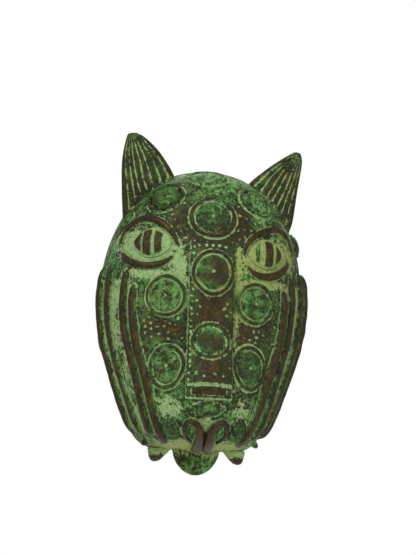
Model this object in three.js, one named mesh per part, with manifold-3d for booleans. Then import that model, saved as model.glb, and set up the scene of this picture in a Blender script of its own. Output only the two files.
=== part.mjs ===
// A wall mask of a spotted cat's head in patinated copper alloy, built as the maker builds it: a deep
// hollow shell, open at the back, with ears, nose bridge, eyes, cheek rolls, spot rosettes, nostrils,
// fangs and tongue laid on it, and a bar across the back to hang it by. Nothing on it moves.
//
// Millimetres. +X is the viewer's right, +Z is up and the face looks towards -Y. The rim's back face
// lies in the wall plane Y = 0. "Left" and "right" are the viewer's. The shapes are worked out round
// the middle of the face, and the whole group is then lowered so that the point where the hanging bar
// bears on its nail is the origin.
import * as THREE from "three";
import { mergeVertices } from "three/addons/utils/BufferGeometryUtils.js";
import Module from "manifold-3d";

const wasm = await Module();
wasm.setup();

// ---- Driving dimensions -------------------------------------------------------------------------

// The shell: a straight skirt against the wall, and a dome in front of it.
const HALF_WIDTH = 76.5; // at the widest, across the temples
const CROWN_HEIGHT = 109; // above the middle of the face
const CHIN_DROP = 99; // below it
const SKIRT_DEPTH = 20;
const DOME_DEPTH = 78;
const WALL = 3.2;
const JAW_TAPER = 0.355; // how fast the jaw narrows, in mm per mm
const MUZZLE_PROUD = 17;
const MUZZLE_HALF_WIDTH = 33;

// The face below is laid out for a head of these sizes. On another head the layout spreads with it.
const DRAWN = { halfWidth: 76.5, crown: 109, chin: 99 };
const ACROSS = HALF_WIDTH / DRAWN.halfWidth;
const UPWARD = CROWN_HEIGHT / DRAWN.crown;
const DOWNWARD = CHIN_DROP / DRAWN.chin;

const GAP = 0.5; // clearance between the shell and each piece laid on it

const BRIDGE = { x: 2, halfWidth: 16.6, top: 57, bottom: -59, height: 6, lift: 1.4 * GAP };
const NOSE_HUMP = { z: -20, halfLength: 26, height: 2.2 };
const LIP_BAR = { z: -54, halfLength: 12.6, halfWidth: 2.8, height: 2 };
const NOSE_TIP = { z: -66.2, halfWidth: 13, halfHeight: 6, height: 3 };

const ROSETTE_HEIGHT = 2.4;
const JAW_ROSETTE_HEIGHT = 4.6; // these two stand out past the cheek rolls

// Each eye is a lens with a lid above and a lid below, whose paths are given from its middle as [out, up].
const EYE = { rise: 12, fall: 11.2, height: 4.4 };
const LID = { upperHalfWidth: 2.3, lowerHalfWidth: 2.5, height: 3 };
const EYES = {
  left: {
    x: 43,
    z: 53.5,
    halfWidth: 16.6,
    upperLid: [
      [20.6, -4],
      [16.8, 6.2],
      [9.2, 14.6],
      [0, 17.2],
      [-8.2, 14.4],
      [-15.4, 7.4],
      [-20.1, -1.4],
    ],
    lowerLid: [
      [19.3, -7.2],
      [15, -11.9],
      [8.8, -14.8],
      [1.8, -15.5],
      [-5.2, -14.5],
      [-11.5, -11.4],
      [-16.4, -7.5],
    ],
  },
  right: {
    x: 42.4,
    z: 48.4,
    halfWidth: 15.8,
    upperLid: [
      [20.4, -1],
      [17.4, 8.5],
      [13.6, 14.6],
      [8.7, 18],
      [4.1, 18.4],
      [-3, 16.2],
      [-10, 12.4],
      [-15.4, 6.2],
      [-18, -1.4],
    ],
    lowerLid: [
      [17.2, -4.2],
      [13.5, -9.9],
      [7.5, -13.6],
      [1.7, -14.8],
      [-4.8, -14.4],
      [-10.6, -12.2],
      [-15, -7.6],
    ],
  },
};

// Four rolls down each cheek: how far in from the outline each lies above and at its foot, its half
// width and height, and its upper and lower ends.
const CHEEK_ROLLS = [
  {
    inset: { left: 20.4, right: 18 },
    foot: { left: 17, right: 15 },
    halfWidth: 3,
    height: 3.6,
    top: 24,
    bottom: -92,
  },
  {
    inset: { left: 14, right: 11.6 },
    foot: { left: 10.4, right: 8.4 },
    halfWidth: 3,
    height: 3.6,
    top: 34,
    bottom: -87,
  },
  {
    inset: { left: 4, right: 4.4 },
    foot: { left: 4, right: 3.4 },
    halfWidth: 3.4,
    height: 3.6,
    top: 38,
    bottom: -87,
  },
  {
    inset: { left: 0.5, right: 0.5 },
    foot: { left: 0.6, right: 0.6 },
    halfWidth: 4,
    height: 5,
    top: 36,
    bottom: -87,
  },
];

const NOSTRIL = { halfWidth: 3.2, height: 5 };
const PAD = { left: 22.9, right: 25.6, z: -83, halfWidth: 6, halfHeight: 11, height: 5 };

const EAR_THICKNESS = 9;
const EAR_FRONT = 31; // how far the ear's front face stands from the wall
const JAW_TIPS = {
  left: { x: 39.5, z: -92.4 },
  right: { x: 42.5, z: -91.5 },
  halfWidth: 7,
  halfHeight: 2.6,
  height: 4,
};

const FANG = { x: 27, depth: 44, radius: 10.2, root: -91, tip: -108.2, splay: 0.25 };
const TONGUE = { halfWidth: 18, root: -93, neck: -102, tip: -117, depth: 40, thickness: 7 };

const BAR = { radius: 2, z: 70, rise: 4, depth: 7 };
// Slits torn through the wall in one rosette's groove: their width, and where each is and how long,
// in radians.
const TEAR_WIDTH = 1.1;
const TEARS = [
  { at: 1.25, arc: 0.5 },
  { at: 3.35, arc: 0.9 },
  { at: 6.4, arc: 0.35 },
];

// ---- The head's surface -------------------------------------------------------------------------

const V = (x, y, z) => new THREE.Vector3(x, y, z);
const { lerp, smoothstep } = THREE.MathUtils;

// Heights and points of the layout on this head, and a point of this head in the layout.
const steep = (z) => (z > 0 ? UPWARD : DOWNWARD);
const tall = (z) => z * steep(z);
const drawn = (p) => V(p.x / ACROSS, p.y, p.z / steep(p.z));

// How much the jaw has narrowed at this height: nothing above the cheeks, then a steady taper.
function jawNarrowing(z) {
  const below = -12 - z;
  return (JAW_TAPER * (Math.hypot(below, 20) + below)) / 2;
}

// 0 in the middle of the face and 1 on the outline, which is round at the crown and blunt at the
// chin, at a point of the layout.
function spread(x, z) {
  const blunt = lerp(2.2, 8, smoothstep(-z, -20, 60));
  const across = Math.abs(x) / Math.max(10, DRAWN.halfWidth - jawNarrowing(z));
  const along = Math.abs(z) / (z > 0 ? DRAWN.crown : DRAWN.chin);
  return (across ** blunt + along ** blunt) ** (1 / blunt);
}

// How deep the dome would be here if it didn't fall away to its outline.
function fullDepth(x, z) {
  const muzzle = MUZZLE_PROUD * Math.exp(-((x / MUZZLE_HALF_WIDTH) ** 2)) * smoothstep(-z, 12, 62);
  const brow = 4 * Math.exp(-(((Math.abs(x) - 36) / 17) ** 2) - ((z - 44) / 17) ** 2);
  return DOME_DEPTH + muzzle - brow;
}

// Below 0 inside the solid head and above 0 outside it.
function outside(p) {
  const { x, y, z } = drawn(p);
  const low = smoothstep(-z, -10, 80);
  const forward = Math.max(0, -y - SKIRT_DEPTH) / fullDepth(x, z);
  return spread(x, z) ** lerp(2.5, 5.5, low) + forward ** lerp(2.2, 2.6, low) - 1;
}

function normalAt(p) {
  const e = 0.05;
  const slope = (d) => outside(p.clone().add(d)) - outside(p.clone().sub(d));
  return V(slope(V(e, 0, 0)), slope(V(0, e, 0)), slope(V(0, 0, e))).normalize();
}

// Where a ray from outside the head first meets its surface.
function cast(from, direction) {
  const step = 2;
  const p = from.clone();
  for (let i = 0; i < 400 && outside(p) > 0; i++) p.addScaledVector(direction, step);
  if (outside(p) > 0) throw new Error("a ray misses the head");
  for (let back = step / 2, sign = -1; back > 1e-4; back /= 2) {
    p.addScaledVector(direction, sign * back);
    sign = outside(p) > 0 ? 1 : -1;
  }
  return p;
}

// Where a point of the layout, seen from the front, lies on the head.
const onFace = (x, z) => cast(V(x * ACROSS, -250, tall(z)), V(0, 1, 0));

// Half the outline's width at a height, in the layout.
function outlineHalfWidth(z) {
  let [low, high] = [0, DRAWN.halfWidth];
  for (let i = 0; i < 40; i++) {
    const middle = (low + high) / 2;
    if (spread(middle, z) < 1) low = middle;
    else high = middle;
  }
  return low;
}

// ---- Solids -------------------------------------------------------------------------------------

// A closed skin over rings of equally many points, from one end point to the other, facing outwards.
function skin(start, rings, end) {
  const points = [start, ...rings.flat(), end];
  const n = rings[0].length;
  const index = [];
  for (let i = 0; i < n; i++) {
    const j = (i + 1) % n;
    index.push(0, 1 + j, 1 + i);
    for (let r = 0; r + 1 < rings.length; r++) {
      const [a, b] = [1 + r * n, 1 + (r + 1) * n];
      index.push(a + i, a + j, b + j, a + i, b + j, b + i);
    }
    const last = 1 + (rings.length - 1) * n;
    index.push(last + i, last + j, points.length - 1);
  }
  let volume = 0;
  for (let i = 0; i < index.length; i += 3) {
    const [a, b, c] = [points[index[i]], points[index[i + 1]], points[index[i + 2]]];
    volume += a.dot(b.clone().cross(c));
  }
  if (volume < 0) index.reverse();
  const geometry = new THREE.BufferGeometry();
  geometry.setAttribute("position", new THREE.Float32BufferAttribute(points.flatMap((p) => p.toArray()), 3));
  return geometry.setIndex(index);
}

function toSolid(geometry) {
  const bare = geometry.clone();
  for (const name of Object.keys(bare.attributes)) if (name !== "position") bare.deleteAttribute(name);
  const merged = mergeVertices(bare, 1e-3);
  const vertProperties = merged.attributes.position.array;
  const triVerts = new Uint32Array(merged.index.array);
  return new wasm.Manifold(new wasm.Mesh({ numProp: 3, vertProperties, triVerts }));
}

function toGeometry(solid) {
  const mesh = solid.getMesh();
  const geometry = new THREE.BufferGeometry();
  geometry.setAttribute("position", new THREE.BufferAttribute(mesh.vertProperties.slice(), 3));
  return geometry.setIndex([...mesh.triVerts]);
}

// A geometry less the ones given.
const cut = (geometry, ...tools) =>
  toGeometry(tools.reduce((solid, tool) => solid.subtract(toSolid(tool)), toSolid(geometry)));

// ---- The shell ----------------------------------------------------------------------------------

const SECTORS = 44;
const TURNS = 13; // rings from the rim to the front

// Rings of the head's surface from the front to the wall plane, moved out along the surface's normal
// by offset.
function headRings(offset) {
  const rings = [];
  for (let i = TURNS - 1; i >= 0; i--) {
    const lift = (Math.PI / 2) * (i / TURNS);
    const ring = [];
    for (let k = 0; k < SECTORS; k++) {
      const round = (2 * Math.PI * k) / SECTORS;
      const ray = V(Math.cos(round) * Math.cos(lift), -Math.sin(lift), Math.sin(round) * Math.cos(lift));
      const p = cast(ray.clone().multiplyScalar(300), ray.clone().negate());
      ring.push(p.addScaledVector(ray, offset / normalAt(p).dot(ray)));
    }
    rings.push(ring);
  }
  return rings;
}

const frontPoint = (offset) => onFace(0, 0).add(V(0, -offset, 0));

// The solid head, larger than the shell by offset, closed in the plane Y = back.
function head(offset, back = 0) {
  const rings = headRings(offset);
  if (back) rings.push(rings.at(-1).map((p) => V(p.x, back, p.z)));
  return skin(frontPoint(offset), rings, V(0, back, 0));
}

function shellGeometry() {
  const rings = [...headRings(0), ...headRings(-WALL).reverse()];
  return skin(frontPoint(0), rings, frontPoint(-WALL));
}

// ---- Pieces laid on the shell -------------------------------------------------------------------

// How far the nose bridge rises at a point of the layout.
function bridgeHeight(x, z) {
  const aside = Math.abs(x - BRIDGE.x);
  if (aside > BRIDGE.halfWidth || z > BRIDGE.top || z < BRIDGE.bottom) return 0;
  const arch = Math.sqrt(1 - (aside / (BRIDGE.halfWidth + 1)) ** 2);
  const ends = smoothstep(BRIDGE.top - z, 0, 24) * lerp(0.45, 1, smoothstep(z - BRIDGE.bottom, 0, 12));
  const hump = NOSE_HUMP.height * Math.exp(-(((z - NOSE_HUMP.z) / NOSE_HUMP.halfLength) ** 2));
  return (BRIDGE.height * ends + hump) * arch;
}

const onShell = () => 0;
function onBridge(p) {
  const { x, z } = drawn(p);
  return BRIDGE.lift + bridgeHeight(x, z);
}

// A frame on the surface: its normal, its uphill direction and the direction across.
function frameAt(p) {
  const normal = normalAt(p);
  const up = V(0, 0, 1).addScaledVector(normal, -normal.z);
  if (up.lengthSq() < 0.02) up.set(0, 1, 0).addScaledVector(normal, -normal.y);
  up.normalize();
  return { normal, up, across: up.clone().cross(normal) };
}

// A pad laid on the surface round a point. edge(angle) is its radius in the layout, top(share, angle)
// its height at that share of the radius, and under(p) how far what it lies on stands off the shell.
function pad(centre, { edge, top, under = onShell, sides = 24, shares, lift = GAP }) {
  const { normal, up, across } = frameAt(centre);
  const wide = lerp(1, ACROSS, Math.abs(across.x));
  const high = lerp(1, steep(centre.z), Math.abs(up.z));
  const place = (share, angle, height) => {
    const r = share * edge(angle);
    const from = centre
      .clone()
      .addScaledVector(normal, 40)
      .addScaledVector(across, r * Math.cos(angle) * wide)
      .addScaledVector(up, r * Math.sin(angle) * high);
    const p = cast(from, normal.clone().negate());
    return p.addScaledVector(normalAt(p), under(p) + lift + height);
  };
  const ring = (share, height) =>
    Array.from({ length: sides }, (_, k) => {
      const angle = (2 * Math.PI * k) / sides;
      return place(share, angle, height(share, angle));
    });
  const upper = shares.map((share) => ring(share, top));
  const lower = (under === onShell ? [1, 0.5] : [1, 0.75, 0.5, 0.25]).map((share) => ring(share, () => 0));
  return skin(place(0, 0, top(0, 0)), [...upper, ...lower], place(0, 0, 0));
}

// The radius of an oval: pointed where n is under 2 and squarer where it's over 2.
const oval = (a, b, n = 2) => (angle) =>
  ((Math.abs(Math.cos(angle)) / a) ** n + (Math.abs(Math.sin(angle)) / b) ** n) ** (-1 / n);

// A spot of the cat's coat: a slightly domed disc inside a raised ring.
function rosette(centre, halfWidth, halfHeight, under, height) {
  const profile = [
    [0, 0.75],
    [0.55, 0.7],
    [0.68, 0.25],
    [0.84, 1],
    [1, 0.35],
  ];
  const top = (share) => height * profile.findLast(([at]) => at <= share)[1];
  const shares = profile.slice(1).map(([at]) => at);
  return pad(centre, { edge: oval(halfWidth, halfHeight), top, under, sides: 18, shares });
}

// A roll of metal lying along points on the surface, with pointed or blunt ends. width(t) and height(t)
// are its half width and height at a share of its length.
function roll(points, { width, height, steps, sides = 7, lift = GAP }) {
  const path = new THREE.CatmullRomCurve3(points, false, "centripetal");
  const sections = [];
  for (let i = 0; i <= steps; i++) {
    const t = i / steps;
    const p = path.getPointAt(t);
    const normal = normalAt(p);
    p.addScaledVector(normal, -outsideBy(p, normal));
    const side = path.getTangentAt(t).cross(normal).normalize();
    const ring = [];
    for (let k = 0; k < sides; k++) {
      const a = (Math.PI * k) / (sides - 1);
      ring.push(
        p
          .clone()
          .addScaledVector(side, width(t) * Math.cos(a))
          .addScaledVector(normal, lift + 0.4 + (height(t) - 0.4) * Math.sin(a)),
      );
    }
    for (const s of [-1, 1])
      ring.push(p.clone().addScaledVector(side, s * 0.8 * width(t)).addScaledVector(normal, lift));
    sections.push(ring);
  }
  const middle = (ring) => ring.reduce((sum, p) => sum.add(p), V(0, 0, 0)).divideScalar(ring.length);
  return skin(middle(sections[0]), sections, middle(sections.at(-1)));
}

// How far a point near the surface stands off it along a direction.
function outsideBy(p, normal) {
  const reach = 30;
  return p.distanceTo(cast(p.clone().addScaledVector(normal, reach), normal.clone().negate())) *
    (outside(p) > 0 ? 1 : -1);
}

const ends = (full, tip, share = 0.12) => (t) =>
  lerp(tip, full, Math.min(1, Math.min(t, 1 - t) / share) ** 0.5);

// ---- Features -----------------------------------------------------------------------------------

function bridgeGeometry() {
  const rows = 15;
  const columns = 12;
  const place = (u, z, height) => {
    const p = onFace(BRIDGE.x + u * BRIDGE.halfWidth, z);
    return p.addScaledVector(normalAt(p), BRIDGE.lift + height);
  };
  const sections = [];
  for (let i = 0; i <= rows; i++) {
    const z = lerp(BRIDGE.bottom, BRIDGE.top, i / rows);
    const ring = [];
    for (let k = 0; k <= columns; k++) {
      const u = -1 + (2 * k) / columns;
      const x = BRIDGE.x + u * BRIDGE.halfWidth * 0.999;
      ring.push(place(u, z, Math.max(0.5, bridgeHeight(x, z))));
    }
    for (let k = columns; k >= 0; k -= 2) ring.push(place(-1 + (2 * k) / columns, z, 0));
    sections.push(ring);
  }
  return skin(place(0, BRIDGE.bottom, 0.3), sections, place(0, BRIDGE.top, 0.3));
}

function eyeballGeometry(side, s) {
  const { x, z, halfWidth } = EYES[side];
  const edge = (angle) => oval(halfWidth, Math.sin(angle) > 0 ? EYE.rise : EYE.fall, 1.6)(angle);
  const top = (share) => lerp(EYE.height, 0.8, share ** 2);
  return pad(onFace(s * x, z), { edge, top, sides: 20, shares: [0.4, 0.75, 1] });
}

function lidGeometry(side, s, path, halfWidth) {
  const { x, z } = EYES[side];
  const points = path.map(([out, up]) => onFace(s * (x + out), z + up));
  const width = ends(halfWidth, 0.8, 0.3);
  return roll(points, { width, height: ends(LID.height, 1.2, 0.3), steps: 11 });
}

function cheekRollGeometry(side, s, { inset, foot, halfWidth, height, top, bottom }) {
  const points = [];
  const spans = 9;
  for (let i = 0; i <= spans; i++) {
    const z = lerp(bottom, top, i / spans);
    const inward = lerp(foot[side], inset[side], smoothstep(z, bottom, -30));
    points.push(onFace(s * (outlineHalfWidth(z) - inward), z));
  }
  return roll(points, { width: ends(halfWidth * ACROSS, 1.2), height: ends(height, 1), steps: 14 });
}

function nostrilGeometry(s) {
  const path = [
    [3.8, -97.2],
    [3.4, -89],
    [4.8, -80.5],
    [9.2, -76],
    [13.6, -76],
    [15.8, -81],
    [14, -87],
    [9, -91],
  ];
  const thin = (t) => lerp(1, 0.35, smoothstep(t, 0.25, 1));
  return roll(path.map(([x, z]) => onFace(BRIDGE.x + s * x, z)), {
    width: (t) => NOSTRIL.halfWidth * thin(t) * ACROSS,
    height: (t) => NOSTRIL.height * thin(t) * Math.min(1, 0.35 + 4 * t),
    steps: 16,
  });
}

// Each ear's outline seen from the front, from its root outside to its root inside.
const EAR_OUTLINES = {
  left: [
    [-60.3, 58],
    [-61.9, 74],
    [-63.6, 96],
    [-64.1, 116],
    [-61.4, 133],
    [-56.3, 136.3],
    [-47.2, 132.6],
    [-36.2, 122.4],
    [-25.6, 107],
  ],
  right: [
    [61.6, 67],
    [65.6, 76],
    [68, 98],
    [70.4, 117],
    [69.9, 124],
    [66.4, 127.4],
    [58, 123.4],
    [45, 114.2],
    [30, 100.5],
  ],
};

// The roots of an ear lie inside the head, whose shape then cuts the ear's foot.
function earGeometry(side) {
  const outline = EAR_OUTLINES[side].map(([x, z]) => new THREE.Vector2(x * ACROSS, tall(z)));
  const inward = side === "left" ? 1 : -1;
  const [first, last] = [outline[0], outline.at(-1)];
  const shape = new THREE.Shape();
  shape.moveTo(first.x, first.y);
  shape.splineThru(outline.slice(1));
  shape.lineTo(last.x + 2 * inward, last.y - 10);
  shape.lineTo(first.x + 14 * inward, first.y);
  const bevel = 1.5;
  const slab = new THREE.ExtrudeGeometry(shape, {
    depth: EAR_THICKNESS - 2 * bevel,
    curveSegments: 3,
    bevelThickness: bevel,
    bevelSize: bevel,
    bevelOffset: -bevel,
    bevelSegments: 2,
  });
  slab.rotateX(Math.PI / 2); // the extrusion now runs along -Y
  slab.translate(0, bevel + EAR_THICKNESS / 2 - EAR_FRONT, 0);
  return cut(slab, head(GAP, 2));
}

function fangGeometry(s) {
  const root = tall(FANG.root);
  const length = root - tall(FANG.tip);
  const profile = [
    [0, 0],
    [FANG.radius, 0],
    [FANG.radius * 0.86, length * 0.38],
    [FANG.radius * 0.58, length * 0.76],
    [FANG.radius * 0.3, length * 0.96],
    [0, length],
  ].map(([r, y]) => new THREE.Vector2(r, y));
  const cone = new THREE.LatheGeometry(profile, 14);
  cone.rotateX(-Math.PI / 2);
  cone.rotateY(-s * FANG.splay);
  cone.translate(s * FANG.x * ACROSS, -FANG.depth, root);
  return cut(cone, head(GAP, 2));
}

function tongueGeometry() {
  const shape = new THREE.Shape();
  const [root, neck, tip] = [TONGUE.root, TONGUE.neck, TONGUE.tip].map(tall);
  const outline = [
    [-1, root],
    [-0.94, neck],
    [-0.66, lerp(tip, root, 0.2)],
    [0, tip],
    [0.66, lerp(tip, root, 0.2)],
    [0.94, neck],
    [1, root],
  ].map(([share, z]) => new THREE.Vector2(share * TONGUE.halfWidth * ACROSS, z));
  shape.moveTo(outline[0].x, outline[0].y);
  shape.splineThru(outline.slice(1));
  const bevel = 1.8;
  const slab = new THREE.ExtrudeGeometry(shape, {
    depth: TONGUE.thickness - 2 * bevel,
    curveSegments: 3,
    bevelThickness: bevel,
    bevelSize: bevel,
    bevelOffset: -bevel,
    bevelSegments: 2,
  });
  slab.rotateX(Math.PI / 2);
  slab.translate(0, bevel - TONGUE.depth, 0);
  return cut(slab, head(GAP, 2));
}

// A round bar across the back opening, bowed upwards, its ends against the shell's inner wall.
function barGeometry() {
  const z = tall(BAR.z);
  const path = new THREE.QuadraticBezierCurve3(
    V(-HALF_WIDTH, -BAR.depth, z - BAR.rise),
    V(0, -BAR.depth, z + BAR.rise),
    V(HALF_WIDTH, -BAR.depth, z - BAR.rise),
  );
  const section = new THREE.Shape().absarc(0, 0, BAR.radius, 0, 2 * Math.PI);
  const rod = new THREE.ExtrudeGeometry(section, { extrudePath: path, steps: 12, curveSegments: 5 });
  return toGeometry(toSolid(rod).intersect(toSolid(head(-WALL - GAP))));
}

// Thin curved slits in the groove of one rosette, right through the wall.
function tearCutters(centre, radius) {
  const { normal, up, across } = frameAt(centre);
  const turn = new THREE.Matrix4().makeBasis(across, up, normal).scale(V(ACROSS, steep(centre.z), 1));
  return TEARS.map(({ at, arc }) => {
    const [from, to] = [at - arc / 2, at + arc / 2];
    const shape = new THREE.Shape();
    shape.absarc(0, 0, radius + TEAR_WIDTH / 2, from, to, false);
    shape.absarc(0, 0, radius - TEAR_WIDTH / 2, to, from, true);
    const slit = new THREE.ExtrudeGeometry(shape, { depth: 16, bevelEnabled: false, curveSegments: 5 });
    return slit.translate(0, 0, -9).applyMatrix4(turn).translate(...centre);
  });
}

// ---- Assembly -----------------------------------------------------------------------------------

const metal = (color, roughness, metalness) =>
  new THREE.MeshStandardMaterial({ color, roughness, metalness });
const MATERIALS = {
  verdigris: metal(0x5f8a4e, 0.8, 0.2),
  worn: metal(0x4a3f25, 0.5, 0.6),
  pale: metal(0x7e9a64, 0.85, 0.1),
  bare: metal(0x4b3a24, 0.5, 0.8),
};

const mask = new THREE.Group();
function add(name, geometry, material) {
  geometry.deleteAttribute("uv");
  geometry.computeVertexNormals();
  const mesh = new THREE.Mesh(geometry, MATERIALS[material]);
  mesh.name = name;
  mask.add(mesh);
}

// A point on the skirt or the dome's flank, met from the side at this height and distance from the
// wall, and a point on the crown met from above.
const onFlank = (s, depth, z) => cast(V(s * 250, -depth, tall(z)), V(-s, 0, 0));
const onCrown = (x, depth) => cast(V(x * ACROSS, -depth, 250), V(0, 0, -1));

// A spot on a cheek keeps clear of the nose bridge and reaches out to the same place, so that it's
// narrower beside a wider bridge.
function cheekSpot(name, s, { clear, outer, z, halfHeight }) {
  const inner = BRIDGE.halfWidth + s * BRIDGE.x + clear;
  const centre = onFace((s * (inner + outer)) / 2, z);
  const slant = Math.abs(normalAt(centre).y);
  return [name, centre, (outer - inner) / 2 / slant, halfHeight];
}

// Name, point on the surface, half width and half height of each spot, and whether it lies on the
// nose bridge.
const SPOTS = [
  ["crown", onCrown(-1, 46), 15, 15],
  ["forehead_centre", onFace(1.6, 75.6), 18, 18],
  ["forehead_left", onFace(-32.8, 88.5), 17, 17],
  ["forehead_right", onFace(35, 87), 17, 17],
  ["temple_left", onFlank(-1, 42, 70), 8.2, 8.2],
  ["temple_right", onFlank(1, 28, 57), 9.5, 9.5],
  ["bridge_upper", onFace(BRIDGE.x, 34), 15, 18, true],
  ["bridge_lower", onFace(BRIDGE.x, -20), 15, 18, true],
  cheekSpot("cheek_upper_left", -1, { clear: 2, outer: 47.4, z: 16, halfHeight: 16 }),
  cheekSpot("cheek_upper_right", 1, { clear: 1.8, outer: 50.6, z: 12.6, halfHeight: 16 }),
  cheekSpot("cheek_lower_left", -1, { clear: 1.4, outer: 42.6, z: -36, halfHeight: 17.8 }),
  cheekSpot("cheek_lower_right", 1, { clear: 1.2, outer: 45.3, z: -35, halfHeight: 17.8 }),
  ["jaw_left", onFlank(-1, 15.5, -22), 13.5, 13.5],
  ["jaw_right", onFlank(1, 15.5, -22), 13.5, 13.5],
];
const TORN_SPOT = "forehead_left";
const TORN_SHARE = 0.66; // the tears follow the groove between the disc and the ring

let shell = shellGeometry();
for (const [name, centre, halfWidth, halfHeight, bridge] of SPOTS) {
  const height = name.startsWith("jaw") ? JAW_ROSETTE_HEIGHT : ROSETTE_HEIGHT;
  let spot = rosette(centre, halfWidth, halfHeight, bridge ? onBridge : onShell, height);
  if (name === TORN_SPOT) {
    const tears = tearCutters(centre, halfWidth * TORN_SHARE);
    spot = cut(spot, ...tears);
    shell = cut(shell, ...tears);
  }
  add(`rosette_${name}`, spot, "verdigris");
}
add("mask_shell", shell, "verdigris");
add("nose_bridge", bridgeGeometry(), "worn");
add("hanging_bar", barGeometry(), "bare");
add("tongue", tongueGeometry(), "verdigris");

const lipBar = pad(onFace(BRIDGE.x, LIP_BAR.z), {
  edge: oval(LIP_BAR.halfLength, LIP_BAR.halfWidth, 5),
  top: (share) => LIP_BAR.height * (1 - 0.6 * share ** 2),
  under: onBridge,
  sides: 20,
  shares: [0.5, 1],
});
add("upper_lip_bar", lipBar, "worn");

const noseTip = pad(onFace(BRIDGE.x, NOSE_TIP.z), {
  edge: oval(NOSE_TIP.halfWidth, NOSE_TIP.halfHeight),
  top: (share) => 0.6 + NOSE_TIP.height * (1 - share ** 2),
  sides: 18,
  shares: [0.4, 0.75, 1],
});
add("nose_tip", noseTip, "verdigris");

for (const [side, s] of [["left", -1], ["right", 1]]) {
  add(`ear_${side}`, earGeometry(side), "verdigris");
  add(`eyeball_${side}`, eyeballGeometry(side, s), "pale");
  add(`upper_lid_${side}`, lidGeometry(side, s, EYES[side].upperLid, LID.upperHalfWidth), "worn");
  add(`lower_lid_${side}`, lidGeometry(side, s, EYES[side].lowerLid, LID.lowerHalfWidth), "worn");
  CHEEK_ROLLS.forEach((size, i) => {
    add(`cheek_roll_${side}_${i + 1}`, cheekRollGeometry(side, s, size), "worn");
  });
  add(`nostril_${side}`, nostrilGeometry(s), "worn");
  add(`fang_${side}`, fangGeometry(s), "pale");
  const whiskerPad = pad(onFace(s * PAD[side], PAD.z), {
    edge: oval(PAD.halfWidth, PAD.halfHeight),
    top: (share) => 0.8 + (PAD.height - 0.8) * (1 - share ** 2.5),
    sides: 18,
    shares: [0.35, 0.65, 0.88, 1],
  });
  add(`whisker_pad_${side}`, whiskerPad, "verdigris");
  const jawTip = pad(onFace(s * JAW_TIPS[side].x, JAW_TIPS[side].z), {
    edge: oval(JAW_TIPS.halfWidth, JAW_TIPS.halfHeight),
    top: (share) => 0.8 + (JAW_TIPS.height - 0.8) * (1 - share ** 2),
    sides: 14,
    shares: [0.4, 0.8, 1],
  });
  add(`jaw_tip_${side}`, jawTip, "worn");
}

// The bar's lowest line is where it bears on the nail.
mask.position.z = -(tall(BAR.z) - BAR.radius);

export default mask;
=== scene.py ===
"""A spotted cat's head as a wall mask in patinated copper alloy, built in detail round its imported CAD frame.

Shapes are worked out in millimetres in the head's own coordinates (x to the viewer's right, y into the wall,
z up from the middle of the face), and moved into the row's frame, in metres, when a mesh is made.
"""
import math

import bpy
import numpy as np
from mathutils import Matrix, Vector
from mathutils.kdtree import KDTree


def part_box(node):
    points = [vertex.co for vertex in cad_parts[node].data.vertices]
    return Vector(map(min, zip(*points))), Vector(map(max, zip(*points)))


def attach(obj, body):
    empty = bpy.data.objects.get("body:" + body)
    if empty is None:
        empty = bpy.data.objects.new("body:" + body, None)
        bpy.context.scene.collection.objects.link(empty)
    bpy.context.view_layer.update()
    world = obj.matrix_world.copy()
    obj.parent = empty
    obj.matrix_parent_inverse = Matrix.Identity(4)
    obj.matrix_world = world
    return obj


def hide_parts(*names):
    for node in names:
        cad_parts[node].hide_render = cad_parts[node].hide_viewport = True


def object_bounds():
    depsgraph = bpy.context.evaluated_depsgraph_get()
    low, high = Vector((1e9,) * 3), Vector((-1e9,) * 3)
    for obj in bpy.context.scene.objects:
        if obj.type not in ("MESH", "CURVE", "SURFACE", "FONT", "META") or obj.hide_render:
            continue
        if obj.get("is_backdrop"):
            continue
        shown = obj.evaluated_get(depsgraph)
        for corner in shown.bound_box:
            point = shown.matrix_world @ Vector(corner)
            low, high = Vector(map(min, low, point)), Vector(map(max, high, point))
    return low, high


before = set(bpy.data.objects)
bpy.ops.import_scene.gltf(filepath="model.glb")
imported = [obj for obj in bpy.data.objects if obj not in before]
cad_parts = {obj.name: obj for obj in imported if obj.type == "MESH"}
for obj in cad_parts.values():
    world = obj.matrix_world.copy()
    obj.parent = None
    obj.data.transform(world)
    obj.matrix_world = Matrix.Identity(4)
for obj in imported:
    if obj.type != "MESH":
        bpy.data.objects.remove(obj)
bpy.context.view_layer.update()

RNG = np.random.default_rng(7)

# ---- The head's surface, as in the CAD -----------------------------------------------------------

HALF_WIDTH = 76.5
CROWN = 109.0
CHIN = 99.0
SKIRT = 20.0
DOME = 78.0
WALL = 3.2
JAW_TAPER = 0.355
MUZZLE_PROUD = 17.0
MUZZLE_HALF_WIDTH = 33.0
BRIDGE = dict(half=16.6, top=57.0, bottom=-59.0, height=6.0, hump=2.2, hump_z=-20.0, hump_half=26.0)

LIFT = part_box("mask_shell")[1].z * 1000 - CROWN  # from the head's coordinates to the row's, along z
BRIDGE_X = sum(c.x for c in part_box("nose_bridge")) * 500


def smooth(x, low, high):
    t = np.clip((np.asarray(x, float) - low) / (high - low), 0, 1)
    return t * t * (3 - 2 * t)


def mix(a, b, t):
    return a + (b - a) * t


def spread(x, z):
    blunt = mix(2.2, 8.0, smooth(-z, -20, 60))
    below = -12 - z
    half = np.maximum(10, HALF_WIDTH - JAW_TAPER * (np.hypot(below, 20) + below) / 2)
    across = np.abs(x) / half
    along = np.abs(z) / np.where(z > 0, CROWN, CHIN)
    return (across**blunt + along**blunt) ** (1 / blunt)


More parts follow.
